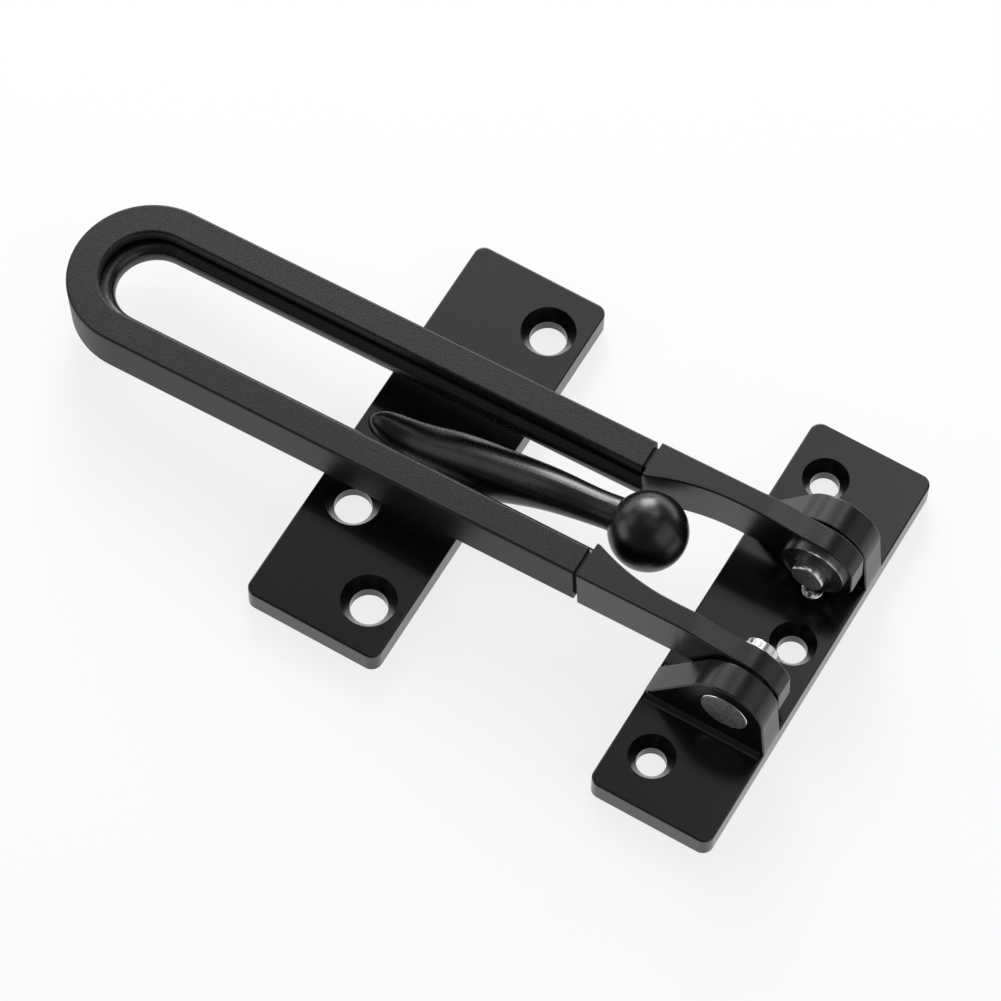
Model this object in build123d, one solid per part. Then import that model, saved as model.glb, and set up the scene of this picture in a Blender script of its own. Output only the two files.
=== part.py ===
from build123d import *
import os
from math import asin, atan2, cos, radians, sin, sqrt

# Swing-bar door guard, in millimetres
# A hinge half goes on the frame and a ball-ended catch half goes on the door.
# The U-shaped bar swings over the ball on two pins; its loop then rides on the neck under the ball.
# X runs along the bar (loop end at -X), Y along the plates, Z away from the door.
# Origin: centre of the hinge plate's back face.

# Hinge plate
hinge_plate_width = 23.3
hinge_plate_length = 80.0
hinge_plate_thickness = 4.75
hinge_plate_corner_radius = 2.0
hinge_screw_diameter = 5.25
hinge_sink_diameter = 8.3
hinge_sink_depth = 2.5
hinge_end_screw_inset = 9.45
hinge_end_screw_from_left = 7.1
hinge_middle_screw_from_left = 17.4

# Lugs that stand on the hinge plate and carry the pins
pivot_from_left = 14.9
pivot_above_plate = 8.25
lug_radius = 7.45
lug_inner_face = 15.3
lug_thickness = 5.6
lug_foot_radius_outside = 1.4
lug_foot_radius_inside = 0.7
lug_foot_end_inset = 0.6

# Pivot pins, headed on the outside
pin_diameter = 6.0
pin_head_diameter = 9.1
pin_head_depth = 1.3
pin_past_near_hub = 2.4
pin_past_far_hub = 1.5
pin_end_radius = 0.3
pin_head_chamfer = 0.2
pin_fit_clearance = 0.04
head_fit_clearance = 0.05

# Flanged bushes pressed into the arms
bush_wall = 0.9
bush_flange_diameter = 11.9
bush_flange_thickness = 0.6
bush_rim_height = 0.25
bush_rim_width = 0.35
bush_hub_wall = 0.46
bush_hub_height = 0.7

# Thrust washers between arms and lugs
washer_diameter = 12.0
washer_thickness = 0.25
washer_side_play = 0.05

# Spring-loaded brake plungers that press up against the round arm ends
plunger_diameter = 3.9
plunger_ahead_of_pivot = 0.4
plunger_edge_radius = 0.3
plunger_running_gap = 0.15
plunger_bore_clearance = 0.05
plunger_plug_thickness = 0.8
plunger_spring_room = 1.35
plunger_spring_wire = 0.35
plunger_spring_turns = 1.5
plunger_spring_diameter = 3.2
stake_ring_diameter = 5.2
stake_ring_width = 0.35
stake_ring_depth = 0.15

# Swing bar: arms near the pins, then the core inside the sleeve
bar_droop_deg = 3.0
bar_half_width = 14.58
bar_top_above_pivot = 8.87
bar_bottom_below_pivot = 0.55
loop_centre_from_pivot = 126.0
arm_start_from_pivot = 31.7
joint_gap = 0.9
arm_extra_each_side = 0.18
arm_inner_at_joint = 7.5
arm_inner_at_pivot = 10.75
arm_scoop_radius = 40.0
arm_joint_land = 0.5
arm_joint_blend = 2.0
arm_end_above_plate = 0.55
arm_end_flat_depth = 0.45
arm_top_blend_start = 12.0
arm_edge_radius = 0.3

# Sleeve round the core, open towards the slot
sleeve_half_gap = 8.82
sleeve_wall = 0.75
sleeve_top_lip = 2.2
sleeve_bottom_lip = 1.7
sleeve_corner_radius = 0.45
core_clearance = 0.05
core_ridge_groove = 0.66
core_ridge_nose_radius = 1.75
core_ridge_loop_inset = 0.6
slot_under_ball = 0.15

# Ball plate with its hook and ball
plate_to_plate_gap = 41.86
ball_plate_width = 26.3
ball_plate_length = 79.8
ball_plate_thickness = 4.75
ball_plate_corner_radius = 2.0
ball_plate_side_shift = 0.6
ball_screw_diameter = 6.7
ball_sink_diameter = 9.9
ball_sink_depth = 2.5
ball_end_screw_inset = 9.3
ball_end_screw_from_left = 19.4
ball_inner_screw_spacing = 30.9
ball_inner_screw_from_left = 7.1
ball_diameter = 14.0
ball_beyond_plate = 30.0
ball_height = 16.3
neck_diameter = 6.5
neck_below_ball_centre = 0.3
neck_into_ball = 5.0
hook_tip_inset = 1.2
hook_neck_length = 3.5
edge_radius = 0.35

# Sections of the hook: share of the way from tip to neck, height of the middle, half width, half height
hook_sections = [
    (0.0, 3.0, 1.2, 1.9),
    (0.13, 2.9, 3.9, 4.0),
    (0.31, 3.8, 5.0, 5.2),
    (0.48, 6.4, 5.1, 5.6),
    (0.63, 9.3, 4.6, 4.9),
    (0.78, 12.4, 4.0, 4.0),
    (0.91, 14.2, 3.5, 3.5),
    (1.0, 15.2, 3.25, 3.25),
]

# Places that follow from the sizes above
hinge_left = -hinge_plate_width / 2
pivot_x = hinge_left + pivot_from_left
pivot_z = hinge_plate_thickness + pivot_above_plate
lug_outer_face = lug_inner_face + lug_thickness
washer_gap = washer_thickness + 2 * washer_side_play
arm_outer_face = lug_inner_face - washer_gap
arm_end_radius = pivot_above_plate - arm_end_above_plate
arm_scoop_depth = arm_inner_at_pivot - arm_inner_at_joint
arm_scoop_run = sqrt(arm_scoop_radius ** 2 - (arm_scoop_radius - arm_scoop_depth) ** 2)
arm_scoop_start = arm_joint_land - arm_start_from_pivot
arm_scoop_end = arm_scoop_start + arm_scoop_run
core_ridge_half_gap = ball_diameter / 2 - slot_under_ball
ball_plate_right = hinge_left - plate_to_plate_gap
ball_plate_left = ball_plate_right - ball_plate_width
ball_x = ball_plate_right + ball_beyond_plate
pin_hole_radius = pin_diameter / 2 + pin_fit_clearance
bush_outer_radius = pin_hole_radius + bush_wall
plunger_bore_radius = plunger_diameter / 2 + plunger_bore_clearance
plunger_foot_z = plunger_plug_thickness + plunger_spring_room
plunger_dome_height = arm_end_above_plate - plunger_running_gap
plunger_top_z = hinge_plate_thickness + plunger_dome_height
flange_inner_face = arm_inner_at_pivot - bush_flange_thickness
hub_inner_face = flange_inner_face - bush_hub_height
plunger_x = pivot_x + plunger_ahead_of_pivot
sides = {"near": -1, "far": 1}
pin_inner_ends = {
    sides["near"]: hub_inner_face - pin_past_near_hub,
    sides["far"]: hub_inner_face - pin_past_far_hub,
}

# How far a cutter runs past the face it cuts, a length past the whole guard, and a hair for finding edges
overrun = 1.0
past_everything = 200.0
hair = 0.01


def rounded_plate(left, middle_y, width, length, thickness, corner_radius):
    """A flat plate with rounded corners and softly broken top edges."""
    centre = (left + width / 2, middle_y)
    outline = Pos(*centre, 0) * RectangleRounded(width, length, corner_radius)
    plate = extrude(outline, thickness)
    top_edges = plate.faces().sort_by(Axis.Z)[-1].edges()
    return fillet(top_edges, edge_radius)


def screw_hole(x, y, thickness, hole_diameter, sink_diameter, sink_depth):
    """Cutter for one countersunk screw hole, mouth up."""
    through = Pos(x, y, thickness / 2) * Cylinder(hole_diameter / 2, thickness + 2 * overrun)
    slope = (sink_diameter - hole_diameter) / 2 / sink_depth
    mouth_radius = sink_diameter / 2 + slope * overrun
    cone_height = sink_depth + overrun
    cone_middle = thickness + overrun - cone_height / 2
    cone = Pos(x, y, cone_middle) * Cone(hole_diameter / 2, mouth_radius, cone_height)
    return through + cone


def pivot_cylinder(radius, y_from, y_to):
    """A cylinder about the pivot axis between two places along Y."""
    low = min(y_from, y_to)
    high = max(y_from, y_to)
    plane = Plane(origin=(pivot_x, low, pivot_z), x_dir=(1, 0, 0), z_dir=(0, 1, 0))
    return extrude(plane * Circle(radius), high - low)


def lug_profile(y):
    """Lug seen along Y: sloping flank from the plate's edge, tangent to the round top, upright in front."""
    foot_x = hinge_left
    foot_z = hinge_plate_thickness
    toe_x = -hinge_left
    reach = sqrt((pivot_x - foot_x) ** 2 + (pivot_z - foot_z) ** 2)
    to_pivot = atan2(pivot_z - foot_z, pivot_x - foot_x)
    flank_normal = to_pivot + asin(lug_radius / reach) + radians(90)
    flank_end = (pivot_x + lug_radius * cos(flank_normal), pivot_z + lug_radius * sin(flank_normal))
    top = (pivot_x, pivot_z + lug_radius)
    front = (pivot_x + lug_radius, pivot_z)
    with BuildSketch(Plane(origin=(0, y, 0), x_dir=(1, 0, 0), z_dir=(0, -1, 0))) as profile:
        with BuildLine():
            Polyline(front, (toe_x, foot_z), (toe_x, 0), (foot_x, 0), (foot_x, foot_z), flank_end)
            ThreePointArc(flank_end, top, front)
        make_face()
    return profile.sketch


def make_lug(side):
    """One lug with softly broken edges."""
    lug = extrude(lug_profile(side * lug_inner_face), -side * lug_thickness)
    round_edges = lug.edges().filter_by(
        lambda edge: edge.center().Z > hinge_plate_thickness + overrun and abs(edge.tangent_at(0.5).Y) < 0.5
    )
    return fillet(round_edges, edge_radius)


def make_foot_cove(side, face_y, outwards, radius):
    """Hollow fillet where a lug's face meets the plate, no wider than the lug."""
    corner = Pos(0, face_y + outwards * radius / 2, hinge_plate_thickness + radius / 2)
    bar_of_metal = corner * Box(hinge_plate_width - 2 * lug_foot_end_inset, radius, radius)
    hollow_place = Pos(0, face_y + outwards * radius, hinge_plate_thickness + radius)
    hollow = hollow_place * Rot(0, 90, 0) * Cylinder(radius, hinge_plate_width + 2 * overrun)
    outline = extrude(lug_profile(side * lug_inner_face), hinge_plate_length, both=True)
    return (bar_of_metal - hollow) & outline


def make_hinge_plate():
    """Plate and both lugs, cast as one piece, with pin bores, screw holes and plunger bores."""
    plate = rounded_plate(
        hinge_left, 0, hinge_plate_width, hinge_plate_length,
        hinge_plate_thickness, hinge_plate_corner_radius,
    )
    body = plate
    for side in sides.values():
        outer = side * lug_outer_face
        inner = side * lug_inner_face
        body = body + make_lug(side)
        body = body + make_foot_cove(side, outer, side, lug_foot_radius_outside)
        body = body + make_foot_cove(side, inner, -side, lug_foot_radius_inside)
        body = body - pivot_cylinder(pin_hole_radius, inner - side * overrun, outer + side * overrun)
        seat = outer - side * pin_head_depth
        head_seat_radius = pin_head_diameter / 2 + head_fit_clearance
        body = body - pivot_cylinder(head_seat_radius, seat, outer + side * overrun)
        body = body - plunger_bore(side)
    end_y = hinge_plate_length / 2 - hinge_end_screw_inset
    screw_places = [
        (hinge_left + hinge_end_screw_from_left, -end_y),
        (hinge_left + hinge_end_screw_from_left, end_y),
        (hinge_left + hinge_middle_screw_from_left, 0),
    ]
    for x, y in screw_places:
        body = body - screw_hole(
            x, y, hinge_plate_thickness, hinge_screw_diameter, hinge_sink_diameter, hinge_sink_depth
        )
    return body


def plunger_place(side, z):
    """The plunger stands under the pivot, a little ahead of it, at the inner edge of the arm."""
    return Pos(plunger_x, side * arm_inner_at_pivot, z)


def plunger_bore(side):
    """Cutter for the plunger's bore and the staked ring round its mouth."""
    bore_height = hinge_plate_thickness + 2 * overrun
    bore = plunger_place(side, hinge_plate_thickness / 2) * Cylinder(plunger_bore_radius, bore_height)
    ring = Cylinder(stake_ring_diameter / 2, 2 * stake_ring_depth)
    ring = ring - Cylinder(stake_ring_diameter / 2 - stake_ring_width, 2 * stake_ring_depth)
    return bore + plunger_place(side, hinge_plate_thickness) * ring


def make_plunger(side):
    """Short round plunger with a low domed top and a rounded rim."""
    radius = plunger_diameter / 2
    dome_radius = (radius ** 2 + plunger_dome_height ** 2) / 2 / plunger_dome_height
    body_height = plunger_top_z - plunger_foot_z
    body = plunger_place(side, plunger_foot_z + body_height / 2) * Cylinder(radius, body_height)
    dome = plunger_place(side, plunger_top_z - dome_radius) * Sphere(dome_radius)
    plunger = body & dome
    round_edges = plunger.edges().filter_by(GeomType.CIRCLE)
    rim = round_edges.filter_by(lambda edge: abs(edge.radius - radius) < hair).sort_by(Axis.Z)[-1]
    return fillet(rim, plunger_edge_radius)


def make_plunger_plug(side):
    """Disc that closes the bore at the plate's back."""
    return plunger_place(side, plunger_plug_thickness / 2) * Cylinder(
        plunger_diameter / 2, plunger_plug_thickness
    )


def make_plunger_spring(side):
    """Short coil between the plug and the plunger."""
    height = plunger_foot_z - plunger_plug_thickness - plunger_spring_wire
    coil_radius = (plunger_spring_diameter - plunger_spring_wire) / 2
    path = Helix(height / plunger_spring_turns, height, coil_radius)
    section = Plane(origin=path @ 0, z_dir=path % 0) * Circle(plunger_spring_wire / 2)
    coil = sweep(section, path=path, is_frenet=True)
    return plunger_place(side, plunger_plug_thickness + plunger_spring_wire / 2) * coil


def make_pin(side):
    """Headed pin: flat head sunk in the lug, plain shank, rounded inner end."""
    outer = side * lug_outer_face
    seat = outer - side * pin_head_depth
    head = pivot_cylinder(pin_head_diameter / 2, seat, outer)
    rim = head.edges().filter_by(lambda edge: abs(edge.center().Y - outer) < hair)
    head = chamfer(rim, pin_head_chamfer)
    inner_end = side * pin_inner_ends[side]
    shank = pivot_cylinder(pin_diameter / 2, inner_end, seat)
    tip = shank.edges().filter_by(lambda edge: abs(edge.center().Y - inner_end) < hair)
    shank = fillet(tip, pin_end_radius)
    return head + shank


def make_bush(side):
    """Bush with a thin dished flange: a raised rim outside, a short hub round the pin."""
    face = side * flange_inner_face
    back = side * arm_inner_at_pivot
    bush = pivot_cylinder(bush_flange_diameter / 2, face, back)
    rim_face = face - side * bush_rim_height
    rim = pivot_cylinder(bush_flange_diameter / 2, rim_face, face)
    rim = rim - pivot_cylinder(bush_flange_diameter / 2 - bush_rim_width, rim_face, face)
    hub_face = side * hub_inner_face
    hub = pivot_cylinder(pin_hole_radius + bush_hub_wall, hub_face, face)
    barrel = pivot_cylinder(bush_outer_radius, back, side * arm_outer_face)
    solid = bush + rim + hub + barrel
    bore_end = side * (arm_outer_face + overrun)
    return solid - pivot_cylinder(pin_hole_radius, hub_face - side * overrun, bore_end)


def make_thrust_washer(side):
    """Thin flat washer, centred in the gap between arm and lug."""
    low = side * (arm_outer_face + washer_side_play)
    high = low + side * washer_thickness
    return pivot_cylinder(washer_diameter / 2, low, high) - pivot_cylinder(pin_hole_radius, low, high)


def bar_to_part(piece):
    """Carries a piece drawn level about the pivot to its place, with the loop end drooping."""
    return Pos(pivot_x, 0, pivot_z) * Rot(0, -bar_droop_deg, 0) * piece


def arm_side_profile():
    """Arm seen from the side: straight body, then a round end with a flat front, centred on the pivot."""
    top = bar_top_above_pivot + arm_extra_each_side
    bottom = -bar_bottom_below_pivot - arm_extra_each_side
    flat_x = arm_end_radius - arm_end_flat_depth
    flat_half = sqrt(arm_end_radius ** 2 - flat_x ** 2)
    start = -arm_start_from_pivot - overrun
    heel_x = -sqrt(arm_end_radius ** 2 - bottom ** 2)
    plane = Plane(origin=(0, 0, 0), x_dir=(1, 0, 0), z_dir=(0, -1, 0))
    with BuildSketch(plane) as profile:
        with BuildLine():
            Polyline((heel_x, bottom), (start, bottom), (start, top), (-arm_top_blend_start, top))
            Spline(
                (-arm_top_blend_start, top),
                (0, arm_end_radius),
                tangents=((1, 0), (1, 0)),
            )
            RadiusArc((0, arm_end_radius), (flat_x, flat_half), arm_end_radius)
            Line((flat_x, flat_half), (flat_x, -flat_half))
            ThreePointArc(
                (flat_x, -flat_half),
                (0, -arm_end_radius),
                (heel_x, bottom),
            )
        make_face()
    return profile.sketch


def arm_plan():
    """Far arm seen from above: flat outside, a scoop inside that clears the ball, then straight."""
    outer = bar_half_width + arm_extra_each_side
    start = -arm_start_from_pivot - overrun
    mid_x = (arm_scoop_start + arm_scoop_end) / 2
    to_mid = arm_scoop_end - mid_x
    mid_y = arm_inner_at_pivot - arm_scoop_radius + sqrt(arm_scoop_radius ** 2 - to_mid ** 2)
    front = arm_end_radius + overrun
    with BuildSketch(Plane.XY) as plan:
        with BuildLine():
            Polyline(
                (arm_scoop_start, arm_inner_at_joint),
                (start, arm_inner_at_joint),
                (start, outer),
                (-arm_top_blend_start, outer),
                (-arm_end_radius, arm_outer_face),
                (front, arm_outer_face),
                (front, arm_inner_at_pivot),
                (arm_scoop_end, arm_inner_at_pivot),
            )
            ThreePointArc(
                (arm_scoop_end, arm_inner_at_pivot),
                (mid_x, mid_y),
                (arm_scoop_start, arm_inner_at_joint),
            )
        make_face()
        kink = plan.vertices().sort_by_distance((arm_scoop_start, arm_inner_at_joint))[0]
        fillet(kink, arm_joint_blend)
    return plan.sketch


def make_far_arm():
    """Side view and plan crossed, edges softly broken, cut off square at the joint, bored for the bush."""
    seen_from_side = extrude(arm_side_profile(), past_everything, both=True)
    seen_from_above = extrude(arm_plan(), past_everything, both=True)
    arm = seen_from_side & seen_from_above
    arm = fillet(arm.edges().filter_by(runs_round_the_arm), arm_edge_radius)
    arm = arm & Pos(past_everything - arm_start_from_pivot, 0, 0) * Box(*[2 * past_everything] * 3)
    bore_plane = Plane(origin=(0, -past_everything, 0), x_dir=(1, 0, 0), z_dir=(0, 1, 0))
    return arm - extrude(bore_plane * Circle(bush_outer_radius), 2 * past_everything)


def runs_round_the_arm(edge):
    """True for the long edges that border the arm's top, bottom and end, not for those at the joint."""
    at_joint = abs(edge.center().X + arm_start_from_pivot + overrun) < hair
    across = abs(edge.tangent_at(0.5).Y) > 0.9
    return not at_joint and not across


def band(half_outer, half_inner, low, high, open_x, loop_inset=0):
    """A U-shaped band: two legs and a half-round loop, between two heights; the inset thickens the loop."""

    def u_shape(half, centre_x, extra):
        length = open_x + extra - centre_x
        leg_block = Pos(centre_x + length / 2, 0) * Rectangle(length, 2 * half)
        return Pos(centre_x, 0) * Circle(half) + leg_block

    outside = u_shape(half_outer, -loop_centre_from_pivot, 0)
    inside = u_shape(half_inner, -loop_centre_from_pivot + loop_inset, overrun)
    return Pos(0, 0, low) * extrude(outside - inside, high - low)


def runs_along_loop(edge):
    """True for edges that follow the U, not for those across its section."""
    return edge.geom_type == GeomType.CIRCLE or abs(edge.tangent_at(0.5).X) > 0.9


def make_swing_bar():
    """Core and both arms in one casting: the core shows in the slot as a rounded ridge."""
    high = bar_top_above_pivot - sleeve_wall - core_clearance
    low = -bar_bottom_below_pivot + sleeve_wall + core_clearance
    half_outer = bar_half_width - sleeve_wall - core_clearance
    half_inner = sleeve_half_gap + sleeve_wall + core_clearance
    open_x = -arm_start_from_pivot
    core = band(half_outer, half_inner, low, high, open_x)
    ridge_low = -bar_bottom_below_pivot + sleeve_bottom_lip + core_ridge_groove
    ridge_high = bar_top_above_pivot - sleeve_top_lip - core_ridge_groove
    ridge = band(
        half_inner, core_ridge_half_gap, ridge_low, ridge_high, open_x, core_ridge_loop_inset
    )
    nose_edges = ridge.edges().filter_by(
        lambda edge: runs_along_loop(edge)
        and edge.center().X > -loop_centre_from_pivot - core_ridge_half_gap - hair
        and abs(edge.center().Y) < core_ridge_half_gap + hair
    )
    ridge = fillet(nose_edges, core_ridge_nose_radius)
    far_arm = make_far_arm()
    bar = core + ridge + far_arm + mirror(far_arm, about=Plane.XZ)
    return bar_to_part(bar)


def make_sleeve():
    """Channel section carried round the loop: thin outer wall, two flanges, short lips at the slot."""
    top = bar_top_above_pivot
    bottom = -bar_bottom_below_pivot
    open_x = -arm_start_from_pivot - joint_gap
    whole = band(bar_half_width, sleeve_half_gap, bottom, top, open_x)
    corner_edges = whole.edges().filter_by(runs_along_loop)
    whole = fillet(corner_edges, sleeve_corner_radius)
    channel = band(
        bar_half_width - sleeve_wall, sleeve_half_gap + sleeve_wall,
        bottom + sleeve_wall, top - sleeve_wall, open_x + overrun,
    )
    mouth = band(
        sleeve_half_gap + 2 * sleeve_wall, sleeve_half_gap - overrun,
        bottom + sleeve_bottom_lip, top - sleeve_top_lip, open_x + overrun,
    )
    return bar_to_part(whole - channel - mouth)


def hook_section(x, middle_z, half_width, half_height):
    """One upright oval across the hook."""
    plane = Plane(origin=(x, ball_plate_side_shift, middle_z), x_dir=(0, 1, 0), z_dir=(1, 0, 0))
    return plane * Ellipse(half_width, half_height)


def make_hook():
    """Spine that swells out of the plate, leans towards the hinge and tapers to the neck of the ball."""
    tip_x = ball_plate_left + hook_tip_inset
    neck_x = ball_x - ball_diameter / 2 - hook_neck_length
    sections = [
        hook_section(tip_x + share * (neck_x - tip_x), middle, half_width, half_height)
        for share, middle, half_width, half_height in hook_sections
    ]
    neck = neck_diameter / 2
    root_x = ball_x - ball_diameter / 2 + neck_into_ball
    sections.append(hook_section(root_x, ball_height - neck_below_ball_centre, neck, neck))
    above_back = Pos(0, 0, past_everything) * Box(*[2 * past_everything] * 3)
    return loft(sections) & above_back


def make_ball_plate():
    """Plate, hook and ball in one casting, with four countersunk screw holes."""
    plate = rounded_plate(
        ball_plate_left, ball_plate_side_shift, ball_plate_width, ball_plate_length,
        ball_plate_thickness, ball_plate_corner_radius,
    )
    ball = Pos(ball_x, ball_plate_side_shift, ball_height) * Sphere(ball_diameter / 2)
    body = plate + make_hook() + ball
    end_y = ball_plate_length / 2 - ball_end_screw_inset
    for direction in (-1, 1):
        places = [
            (ball_plate_left + ball_end_screw_from_left, direction * end_y),
            (ball_plate_left + ball_inner_screw_from_left, direction * ball_inner_screw_spacing / 2),
        ]
        for x, y in places:
            body = body - screw_hole(
                x, y + ball_plate_side_shift, ball_plate_thickness,
                ball_screw_diameter, ball_sink_diameter, ball_sink_depth,
            )
    return body


def main():
    os.makedirs("parts", exist_ok=True)
    pieces = {
        "hinge_plate": make_hinge_plate(),
        "ball_plate": make_ball_plate(),
        "swing_bar": make_swing_bar(),
        "bar_sleeve": make_sleeve(),
    }
    for name, side in sides.items():
        pieces["pivot_pin_" + name] = make_pin(side)
        pieces["pivot_bush_" + name] = make_bush(side)
        pieces["thrust_washer_" + name] = make_thrust_washer(side)
        pieces["brake_plunger_" + name] = make_plunger(side)
        pieces["plunger_spring_" + name] = make_plunger_spring(side)
        pieces["plunger_plug_" + name] = make_plunger_plug(side)
    for name, piece in pieces.items():
        export_step(piece, f"parts/{name}.step")


main()
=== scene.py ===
"""Finishes and studio for a swing bar door guard.

The guard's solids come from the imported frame. This script gives each of them the coat, plating or
bare steel that the real one has, and sets up a white floor, soft lamps and the camera.
"""

import math

import bpy
import numpy as np
from bpy.props import FloatProperty, FloatVectorProperty, PointerProperty, StringProperty
from mathutils import Matrix, Vector

bl_info = {
    "name": "Swing bar door guard",
    "version": (1, 0, 0),
    "blender": (4, 5, 0),
    "location": "View3D > Sidebar > Door guard",
    "description": "Finishes and studio for a swing bar door guard",
    "category": "Object",
}

MM = 0.001
SIDES = ("near", "far")

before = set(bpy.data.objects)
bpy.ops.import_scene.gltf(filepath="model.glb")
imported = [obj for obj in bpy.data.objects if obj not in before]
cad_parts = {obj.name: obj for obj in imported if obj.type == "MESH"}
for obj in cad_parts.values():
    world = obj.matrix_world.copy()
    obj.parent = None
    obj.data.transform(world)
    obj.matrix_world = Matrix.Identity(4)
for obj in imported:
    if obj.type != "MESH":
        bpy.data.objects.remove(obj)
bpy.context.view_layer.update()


# Fixed values of the finishes and the studio


# The middle part of a noise, which it seldom leaves, for stretching to a full range
NOISE_SPAN = {"From Min": 0.35, "From Max": 0.65}

# The enamel's gloss changes between these heights, both above the plates' flats at 4.75 mm
FLATS_UP_TO = 5.3 * MM
FORMS_FROM = 7.0 * MM
# How far the enamel's specks move its roughness, up and down, and how strongly they stand up
SPECK_ROUGHNESS = 0.03
SPECK_BUMP = 0.02

# The powder coat's relief, and its reflection, which is weaker than the usual 0.5
SAND_BUMP = 0.22
POWDER_SPECULAR = 0.3

# Roughness of the plated steels, and how far handling marks move it down and up
SATIN_ROUGHNESS = 0.28
POLISHED_ROUGHNESS = 0.12
MARKS_DOWN = 0.05
MARKS_UP = 0.08

# How far a turned surface faces along the pivot line, 1 being squarely, where its bright rim
# (a painted highlight for the light its rounding catches) stops and where its dark end starts, and
# how rough each is
RIM_FACING = 0.94
END_FACING = 0.99
END_ROUGHNESS = 0.55
RIM_ROUGHNESS = 0.25

# The point that the lamps round the guard face, and the camera's nearest and farthest view
GUARD_MIDDLE = (-0.03, 0.0, 0.01)
CLIP_START = 0.01
CLIP_END = 10


# Colours and small helpers


def linear(hex_colour):
    """An sRGB hex colour as linear red, green, blue and full alpha."""
    parts = [int(hex_colour[i:i + 2], 16) / 255 for i in (1, 3, 5)]
    curve = (c / 12.92 if c <= 0.04045 else ((c + 0.055) / 1.055) ** 2.4 for c in parts)
    return (*curve, 1.0)


def add_node(tree, kind, inputs=None, **settings):
    """Adds one node, sets its properties, and sets or links its inputs."""
    node = tree.nodes.new(kind)
    for name, value in settings.items():
        setattr(node, name, value)
    for name, value in (inputs or {}).items():
        if isinstance(value, bpy.types.NodeSocket):
            tree.links.new(value, node.inputs[name])
        else:
            node.inputs[name].default_value = value
    return node


def new_material(name):
    """An empty material with its output node, ready for a shader."""
    material = bpy.data.materials.new(name)
    material.use_nodes = True
    material.node_tree.nodes.clear()
    output = add_node(material.node_tree, "ShaderNodeOutputMaterial")
    return material, material.node_tree, output


def dress(node_name, material):
    """Gives a solid of the frame its finish."""
    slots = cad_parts[node_name].data.materials
    slots.clear()
    slots.append(material)


# Materials


def painted_casting(settings):
    """Black satin enamel on a zinc casting: deep black, faintly mottled, with soft reflections.

    Above the plates, whose flats are smooth, the cast forms spread their highlights a little more.
    """
    material, tree, output = new_material("black satin enamel on zinc casting")
    place = add_node(tree, "ShaderNodeTexCoord")
    peel = add_node(
        tree, "ShaderNodeTexNoise",
        {"Vector": place.outputs["Object"], "Scale": 1 / (settings.peel_mm * MM), "Detail": 2.0},
    )
    mottling = add_node(tree, "ShaderNodeMapRange", {"Value": peel.outputs["Fac"], **NOISE_SPAN})
    tint = add_node(
        tree, "ShaderNodeMix",
        {
            "Factor": mottling.outputs["Result"],
            "A": linear(settings.coat_dark),
            "B": linear(settings.coat_light),
        },
        data_type="RGBA",
    )
    # The specks of real enamel are under a tenth of a millimetre: drawn coarser, so that they show
    speck = add_node(
        tree, "ShaderNodeTexNoise",
        {"Vector": place.outputs["Object"], "Scale": 1 / (settings.speck_mm * MM), "Detail": 1.0},
    )
    height = add_node(tree, "ShaderNodeSeparateXYZ", {"Vector": place.outputs["Object"]})
    gloss = add_node(
        tree, "ShaderNodeMapRange",
        {
            "Value": height.outputs["Z"],
            "From Min": FLATS_UP_TO,
            "From Max": FORMS_FROM,
            "To Min": settings.coat_roughness,
            "To Max": settings.cast_roughness,
        },
    )
    specks = add_node(
        tree, "ShaderNodeMapRange",
        {
            "Value": speck.outputs["Fac"],
            **NOISE_SPAN,
            "To Min": -SPECK_ROUGHNESS,
            "To Max": SPECK_ROUGHNESS,
        },
    )
    roughness = add_node(
        tree, "ShaderNodeMath",
        {0: gloss.outputs["Result"], 1: specks.outputs["Result"]}, operation="ADD",
    )
    bump = add_node(
        tree, "ShaderNodeBump",
        {
            "Height": speck.outputs["Fac"],
            "Strength": SPECK_BUMP,
            "Distance": settings.speck_mm * MM,
        },
    )
    shader = add_node(
        tree, "ShaderNodeBsdfPrincipled",
        {
            "Base Color": tint.outputs["Result"],
            "Roughness": roughness.outputs["Value"],
            "Normal": bump.outputs["Normal"],
        },
    )
    tree.links.new(shader.outputs["BSDF"], output.inputs["Surface"])
    return material


def textured_sheet(settings):
    """Fine-textured black powder coat on bent sheet steel: a sandy grain that catches the light."""
    material, tree, output = new_material("fine textured powder coat on sheet steel")
    place = add_node(tree, "ShaderNodeTexCoord")
    # A real grain of the powder is about a tenth of a millimetre: drawn coarser, so that it shows
    sand = add_node(
        tree, "ShaderNodeTexNoise",
        {"Vector": place.outputs["Object"], "Scale": 1 / (settings.sand_mm * MM), "Detail": 3.0},
    )
    grains = add_node(tree, "ShaderNodeMapRange", {"Value": sand.outputs["Fac"], **NOISE_SPAN})
    tint = add_node(
        tree, "ShaderNodeMix",
        {
            "Factor": grains.outputs["Result"],
            "A": linear(settings.sheet_dark),
            "B": linear(settings.sheet_light),
        },
        data_type="RGBA",
    )
    bump = add_node(
        tree, "ShaderNodeBump",
        {
            "Height": sand.outputs["Fac"],
            "Strength": SAND_BUMP,
            "Distance": settings.sand_mm * MM,
        },
    )
    shader = add_node(
        tree, "ShaderNodeBsdfPrincipled",
        {
            "Base Color": tint.outputs["Result"],
            "Roughness": settings.sheet_roughness,
            "Specular IOR Level": POWDER_SPECULAR,
            "Normal": bump.outputs["Normal"],
        },
    )
    tree.links.new(shader.outputs["BSDF"], output.inputs["Surface"])
    return material


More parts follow.
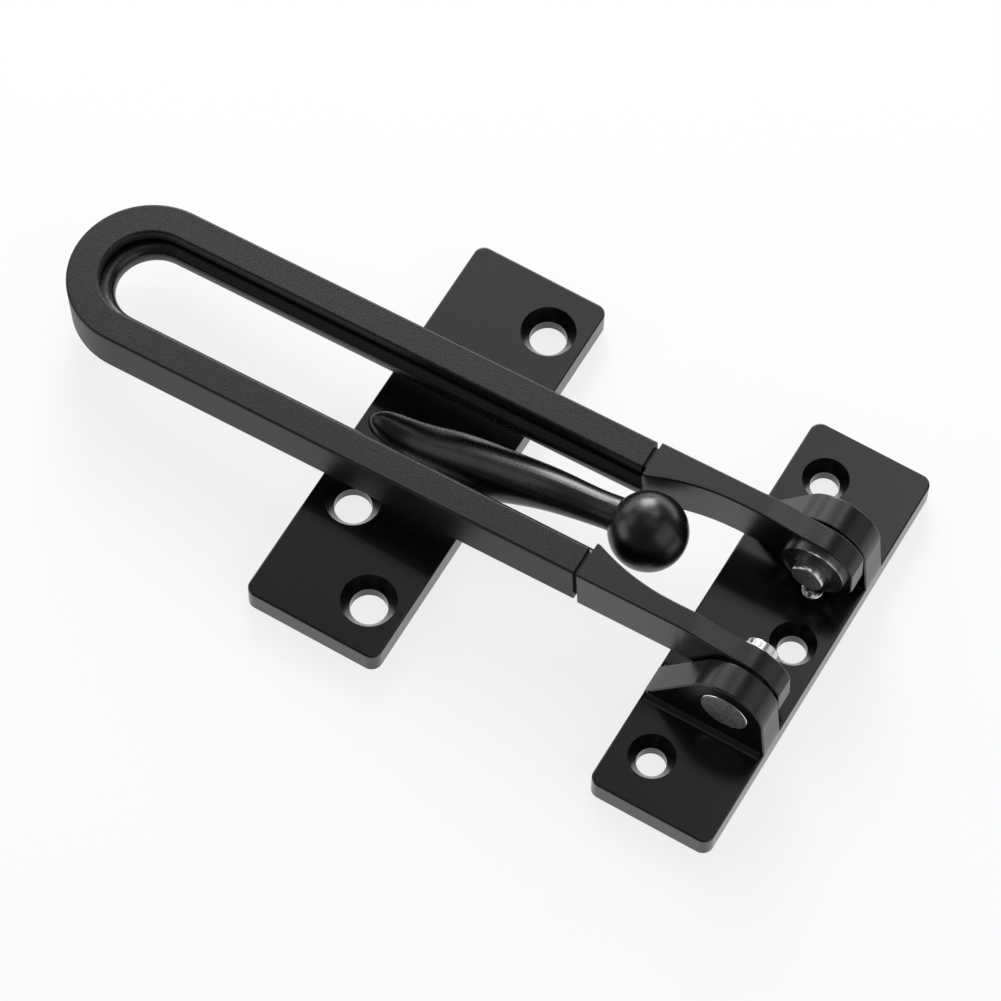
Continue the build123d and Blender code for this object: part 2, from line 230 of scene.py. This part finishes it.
def bright_steel(name, settings, roughness):
    """Plated steel, satin or polished: clear reflections that handling marks dull in places."""
    material, tree, output = new_material(name)
    place = add_node(tree, "ShaderNodeTexCoord")
    # Real handling marks are hair-fine: drawn as wider soft spots, so that they show
    marks = add_node(
        tree, "ShaderNodeTexNoise",
        {"Vector": place.outputs["Object"], "Scale": 1 / (settings.mark_mm * MM), "Detail": 3.0},
    )
    marked = add_node(
        tree, "ShaderNodeMapRange",
        {
            "Value": marks.outputs["Fac"],
            **NOISE_SPAN,
            "To Min": roughness - MARKS_DOWN,
            "To Max": roughness + MARKS_UP,
        },
    )
    shader = add_node(
        tree, "ShaderNodeBsdfPrincipled",
        {
            "Base Color": linear(settings.steel_and_rim_highlight_colour),
            "Metallic": 1.0,
            "Roughness": marked.outputs["Result"],
        },
    )
    tree.links.new(shader.outputs["BSDF"], output.inputs["Surface"])
    return material


def turned_steel(name, settings, dark, light):
    """Turned steel: darker, pitted ends, with polished sides and rims coloured bright as a painted
    highlight for the light their rounding catches.

    The ends are where the surface faces along the pivot line, read in the solid's own space.
    """
    material, tree, output = new_material(name)
    place = add_node(tree, "ShaderNodeTexCoord")
    facing = add_node(tree, "ShaderNodeSeparateXYZ", {"Vector": place.outputs["Normal"]})
    along = add_node(tree, "ShaderNodeMath", {0: facing.outputs["Y"]}, operation="ABSOLUTE")
    # Painted highlight: the less a surface faces along the pivot line, the brighter its colour, as
    # well as its smoother finish
    polish_and_highlight = add_node(
        tree, "ShaderNodeMapRange",
        {
            "Value": along.outputs["Value"],
            "From Min": RIM_FACING,
            "From Max": END_FACING,
            "To Min": 1.0,
            "To Max": 0.0,
        },
    )
    # Real pits are finer: drawn coarser, so that they show
    pits = add_node(
        tree, "ShaderNodeTexNoise",
        {"Vector": place.outputs["Object"], "Scale": 1 / (settings.pit_mm * MM), "Detail": 3.0},
    )
    pitting = add_node(tree, "ShaderNodeMapRange", {"Value": pits.outputs["Fac"], **NOISE_SPAN})
    end = add_node(
        tree, "ShaderNodeMix",
        {"Factor": pitting.outputs["Result"], "A": linear(dark), "B": linear(light)},
        data_type="RGBA",
    )
    # Rims and sides take the bright steel colour as a painted highlight; the ends' pitted tone is
    # their own colour
    tint = add_node(
        tree, "ShaderNodeMix",
        {
            "Factor": polish_and_highlight.outputs["Result"],
            "A": end.outputs["Result"],
            "B": linear(settings.steel_and_rim_highlight_colour),
        },
        data_type="RGBA",
    )
    roughness = add_node(
        tree, "ShaderNodeMapRange",
        {"Value": polish_and_highlight.outputs["Result"], "To Min": END_ROUGHNESS, "To Max": RIM_ROUGHNESS},
    )
    shader = add_node(
        tree, "ShaderNodeBsdfPrincipled",
        {
            "Base Color": tint.outputs["Result"],
            "Metallic": 1.0,
            "Roughness": roughness.outputs["Result"],
        },
    )
    tree.links.new(shader.outputs["BSDF"], output.inputs["Surface"])
    return material


# Studio


def white_sheet(settings):
    """Matt white studio floor: seen as nearly plain white, with a trace of the guard's shadow.

    Its glow is only for what is seen, in the picture or as a reflection. It lights nothing else.
    """
    material, tree, output = new_material("matt white studio floor")
    light = add_node(tree, "ShaderNodeLightPath")
    seen = add_node(
        tree, "ShaderNodeMath",
        {0: light.outputs["Is Camera Ray"], 1: light.outputs["Is Glossy Ray"]},
        operation="MAXIMUM",
    )
    shown = add_node(
        tree, "ShaderNodeMath",
        {0: seen.outputs["Value"], 1: light.outputs["Is Transmission Ray"]},
        operation="MAXIMUM",
    )
    weight = add_node(
        tree, "ShaderNodeMath",
        {0: shown.outputs["Value"], 1: settings.floor_glow},
        operation="MULTIPLY",
    )
    matt = add_node(tree, "ShaderNodeBsdfDiffuse", {"Color": linear(settings.floor_colour)})
    glow = add_node(tree, "ShaderNodeEmission", {"Color": (1, 1, 1, 1), "Strength": 1.0})
    mix = add_node(
        tree, "ShaderNodeMixShader",
        {0: weight.outputs["Value"], 1: matt.outputs["BSDF"], 2: glow.outputs["Emission"]},
    )
    tree.links.new(mix.outputs["Shader"], output.inputs["Surface"])
    return material


def make_floor(settings):
    """A flat square sheet under the plates: x and y run over the square, z stays at zero."""
    half = settings.floor_size / 2
    corner = np.array([-half, half])
    x, y = np.meshgrid(corner, corner)
    points = np.stack([x.ravel(), y.ravel(), np.zeros(4)], axis=1)
    mesh = bpy.data.meshes.new("studio_floor")
    mesh.from_pydata(points.tolist(), [], [(0, 1, 3, 2)])
    floor = bpy.data.objects.new("studio_floor", mesh)
    bpy.context.scene.collection.objects.link(floor)
    floor.data.materials.append(white_sheet(settings))


def make_world(settings):
    """A dim, even surround, so that no reflection falls into plain black."""
    world = bpy.data.worlds.new("studio_world")
    world.use_nodes = True
    bpy.context.scene.world = world
    tree = world.node_tree
    tree.nodes.clear()
    output = add_node(tree, "ShaderNodeOutputWorld")
    surround = add_node(
        tree, "ShaderNodeBackground",
        {"Color": (1, 1, 1, 1), "Strength": settings.surround_level},
    )
    tree.links.new(surround.outputs["Background"], output.inputs["Surface"])


def make_lamp(name, place, aim, width, depth, level):
    """A soft rectangular lamp at a place, turned to face a point.

    Its power is pi times its area times its level: a lamp of level 1 looks white in a mirror.
    """
    data = bpy.data.lights.new(name, "AREA")
    data.shape = "RECTANGLE"
    data.size = width
    data.size_y = depth
    data.energy = math.pi * width * depth * level
    lamp = bpy.data.objects.new(name, data)
    bpy.context.scene.collection.objects.link(lamp)
    lamp.location = place
    lamp.rotation_euler = (Vector(aim) - Vector(place)).to_track_quat("-Z", "Y").to_euler()


def make_camera(settings):
    """The camera looks down past the near corner, from the angle of the photograph.

    Its back vector comes from azimuth and elevation; roll then turns right and up about it.
    """
    azimuth = settings.azimuth
    elevation = settings.elevation
    back = Vector((
        math.sin(azimuth) * math.cos(elevation),
        -math.cos(azimuth) * math.cos(elevation),
        math.sin(elevation),
    ))
    level_right = Vector((math.cos(azimuth), math.sin(azimuth), 0))
    level_up = back.cross(level_right)
    right = level_right * math.cos(settings.roll) + level_up * math.sin(settings.roll)
    up = back.cross(right)
    data = bpy.data.cameras.new("camera")
    data.sensor_width = settings.sensor_width
    data.lens = settings.lens
    data.clip_start = CLIP_START
    data.clip_end = CLIP_END
    camera = bpy.data.objects.new("camera", data)
    bpy.context.scene.collection.objects.link(camera)
    place = Vector(settings.look_at) + back * settings.distance
    turn = Matrix((right, up, back)).transposed().to_4x4()
    camera.matrix_world = Matrix.Translation(place) @ turn
    bpy.context.scene.camera = camera


# Settings that a user would change


class GuardFinish(bpy.types.PropertyGroup):
    """Colours and textures of the guard's surfaces."""

    coat_dark: StringProperty(
        name="Enamel, dark", description="Darker tone of the castings' mottling",
        default="#080808",
    )
    coat_light: StringProperty(
        name="Enamel, light", description="Lighter tone of the castings' mottling",
        default="#0c0c0c",
    )
    coat_roughness: FloatProperty(
        name="Enamel roughness, flats", description="Roughness of the flat plates",
        default=0.2, min=0.1, max=0.9,
    )
    cast_roughness: FloatProperty(
        name="Enamel roughness, forms", description="Roughness of the hook, ball, lugs and arms",
        default=0.3, min=0.1, max=0.9,
    )
    speck_mm: FloatProperty(
        name="Enamel specks", description="Width of the finest specks, in mm",
        default=0.25, min=0.05,
    )
    peel_mm: FloatProperty(
        name="Orange peel", description="Width of the slow mottling, in mm",
        default=3.0, min=0.5,
    )
    sheet_dark: StringProperty(
        name="Powder, dark", description="Hollows of the sleeve's texture",
        default="#0e0e0e",
    )
    sheet_light: StringProperty(
        name="Powder, light", description="Grains of the sleeve's texture",
        default="#1c1c1c",
    )
    sheet_roughness: FloatProperty(
        name="Powder roughness", description="Roughness of the sleeve",
        default=0.42, min=0.1, max=0.9,
    )
    sand_mm: FloatProperty(
        name="Powder grain", description="Width of a grain on the sleeve, in mm",
        default=0.2, min=0.05,
    )
    # Also the colour of the painted highlight on the rims of the pins and bushes
    steel_and_rim_highlight_colour: StringProperty(
        name="Bright steel", description="Plated steel, and the pins' polished rims",
        default="#dcdcdc",
    )
    mark_mm: FloatProperty(
        name="Handling marks", description="Width of a mark on the plated steel, in mm",
        default=0.6,
    )
    pin_dark: StringProperty(
        name="Pin face, dark", description="Pits of the pin faces",
        default="#787878",
    )
    pin_light: StringProperty(
        name="Pin face, light", description="Raised grain of the pin faces",
        default="#b4b4b4",
    )
    pit_mm: FloatProperty(
        name="Pits", description="Width of a pit on the pin and bush faces, in mm",
        default=0.4,
    )
    bush_dark: StringProperty(
        name="Bush flange, dark", description="Pits of the bush flanges",
        default="#303030",
    )
    bush_light: StringProperty(
        name="Bush flange, light", description="Raised grain of the bush flanges",
        default="#585858",
    )


class GuardStudio(bpy.types.PropertyGroup):
    """Floor, lamps and camera."""

    floor_size: FloatProperty(
        name="Floor", description="Side of the floor",
        default=4.0, unit="LENGTH",
    )
    floor_colour: StringProperty(
        name="Floor colour", description="Matt paint of the floor",
        default="#fafafa",
    )
    floor_glow: FloatProperty(
        name="Floor white", description="How much of the floor shows as plain white",
        default=0.8, min=0, max=1,
    )
    surround_level: FloatProperty(
        name="Surround", description="Strength of the even surround",
        default=0.15,
    )
    ceiling_level: FloatProperty(
        name="Ceiling panel", description="Seen in the flat tops",
        default=1.1,
    )
    left_level: FloatProperty(
        name="Left panel", description="Seen in the near sides of the rounded ends",
        default=1.8,
    )
    strip_level: FloatProperty(
        name="Bright strip", description="Seen in the rounded arm and lug ends",
        default=2.6,
    )
    zenith_level: FloatProperty(
        name="Zenith panel", description="Weak panel almost straight above",
        default=0.4,
    )
    key_level: FloatProperty(
        name="Key lamp", description="Strong lamp seen in the ball and hook",
        default=12.5,
    )
    side_level: FloatProperty(
        name="Side lamps", description="Low lamps at the front, back and left",
        default=2.0,
    )
    soft_level: FloatProperty(
        name="Softboxes", description="Soft lamps on the right and left",
        default=0.95,
    )
    azimuth: FloatProperty(
        name="Azimuth", description="Camera turn about the vertical",
        default=math.radians(28.38), subtype="ANGLE",
    )
    elevation: FloatProperty(
        name="Elevation", description="Camera height angle",
        default=math.radians(62.81), subtype="ANGLE",
    )
    roll: FloatProperty(
        name="Roll", description="Camera roll",
        default=math.radians(2.21), subtype="ANGLE",
    )
    distance: FloatProperty(
        name="Distance", description="Camera to the aimed point",
        default=0.8418, unit="LENGTH",
    )
    look_at: FloatVectorProperty(
        name="Look at", description="Point on the floor in the middle of the picture",
        default=(-0.05197, 0.0002, 0.0), subtype="TRANSLATION",
    )
    lens: FloatProperty(
        name="Lens", description="Focal length in mm",
        default=174.35,
    )
    sensor_width: FloatProperty(
        name="Sensor", description="Sensor width in mm",
        default=36.0,
    )


# Operators


class GUARD_OT_coat_castings(bpy.types.Operator):
    """Coat the plates and the swing bar with black satin enamel"""

    bl_idname = "guard.coat_castings"
    bl_label = "Coat castings"

    def execute(self, context):
        enamel = painted_casting(context.scene.guard_finish)
        for name in ("hinge_plate", "ball_plate", "swing_bar"):
            dress(name, enamel)
        return {"FINISHED"}


class GUARD_OT_coat_sleeve(bpy.types.Operator):
    """Coat the bar's sleeve with fine textured powder"""

    bl_idname = "guard.coat_sleeve"
    bl_label = "Coat sleeve"

    def execute(self, context):
        dress("bar_sleeve", textured_sheet(context.scene.guard_finish))
        return {"FINISHED"}


class GUARD_OT_finish_pins(bpy.types.Operator):
    """Darken the ends of the pins and bushes, paint a highlight on their rims, and leave the
    upright plugs bright
    """

    bl_idname = "guard.finish_pins"
    bl_label = "Finish pins"

    def execute(self, context):
        finish = context.scene.guard_finish
        # The bright rims of the pins and bushes are a painted highlight
        pin = turned_steel(
            "blackened steel with painted rim highlight", finish, finish.pin_dark, finish.pin_light,
        )
        bush = turned_steel(
            "turned steel with painted rim highlight", finish, finish.bush_dark, finish.bush_light,
        )
        for side in SIDES:
            dress("pivot_pin_" + side, pin)
            dress("plunger_plug_" + side, pin)
            dress("pivot_bush_" + side, bush)
        return {"FINISHED"}


class GUARD_OT_finish_bright_parts(bpy.types.Operator):
    """Polish the plungers, and give the washers and springs a satin plating"""

    bl_idname = "guard.finish_bright_parts"
    bl_label = "Finish bright parts"

    def execute(self, context):
        finish = context.scene.guard_finish
        satin = bright_steel("satin plated steel", finish, SATIN_ROUGHNESS)
        polished = bright_steel("polished plated steel", finish, POLISHED_ROUGHNESS)
        for side in SIDES:
            dress("thrust_washer_" + side, satin)
            dress("brake_plunger_" + side, polished)
            dress("plunger_spring_" + side, satin)
        return {"FINISHED"}


class GUARD_OT_studio(bpy.types.Operator):
    """Lay the white floor, hang the lamps and place the camera"""

    bl_idname = "guard.studio"
    bl_label = "Studio"

    def execute(self, context):
        studio = context.scene.guard_studio
        context.scene.view_settings.view_transform = "Standard"
        make_floor(studio)
        make_world(studio)
        # Panels that face straight down: name, place, width and depth in metres, level
        for name, place, width, depth, level in (
            ("ceiling_panel", (-0.20, 0.715, 1.0), 0.50, 0.57, studio.ceiling_level),
            ("left_panel", (-0.88, 0.765, 1.0), 0.85, 0.67, studio.left_level),
            ("bright_strip", (0.03, 0.63, 0.99), 0.20, 0.52, studio.strip_level),
            ("zenith_panel", (0.15, 0.02, 1.1), 0.80, 0.44, studio.zenith_level),
        ):
            make_lamp(name, place, (place[0], place[1], 0.0), width, depth, level)
        # Lamps that face the guard, in the same order
        for name, place, width, depth, level in (
            ("key_lamp", (-0.48, 0.77, 0.44), 0.46, 0.46, studio.key_level),
            ("front_lamp", (-0.84, -0.54, 0.20), 0.70, 0.44, studio.side_level),
            ("left_lamp", (-0.90, 0.40, 0.26), 0.60, 0.40, studio.side_level),
            ("back_lamp", (0.12, 0.95, 0.16), 1.00, 0.35, studio.side_level),
            ("right_lamp", (0.80, -0.03, 0.53), 1.00, 0.80, studio.soft_level),
            ("left_softbox", (-0.78, -0.17, 0.60), 0.50, 0.50, studio.soft_level),
        ):
            make_lamp(name, place, GUARD_MIDDLE, width, depth, level)
        make_camera(studio)
        return {"FINISHED"}


class GUARD_PT_sidebar(bpy.types.Panel):
    """The guard's steps in the 3D view's sidebar"""

    bl_label = "Door guard"
    bl_space_type = "VIEW_3D"
    bl_region_type = "UI"
    bl_category = "Door guard"

    def draw(self, context):
        for step in STEPS:
            self.layout.operator(step.bl_idname)


STEPS = (
    GUARD_OT_coat_castings,
    GUARD_OT_coat_sleeve,
    GUARD_OT_finish_pins,
    GUARD_OT_finish_bright_parts,
    GUARD_OT_studio,
)
CLASSES = (GuardFinish, GuardStudio, *STEPS, GUARD_PT_sidebar)


def register():
    for one in CLASSES:
        bpy.utils.register_class(one)
    bpy.types.Scene.guard_finish = PointerProperty(type=GuardFinish)
    bpy.types.Scene.guard_studio = PointerProperty(type=GuardStudio)


def unregister():
    del bpy.types.Scene.guard_studio
    del bpy.types.Scene.guard_finish
    for one in reversed(CLASSES):
        bpy.utils.unregister_class(one)


def main():
    register()
    bpy.ops.guard.coat_castings()
    bpy.ops.guard.coat_sleeve()
    bpy.ops.guard.finish_pins()
    bpy.ops.guard.finish_bright_parts()
    bpy.ops.guard.studio()


if __name__ == "__main__":
    main()
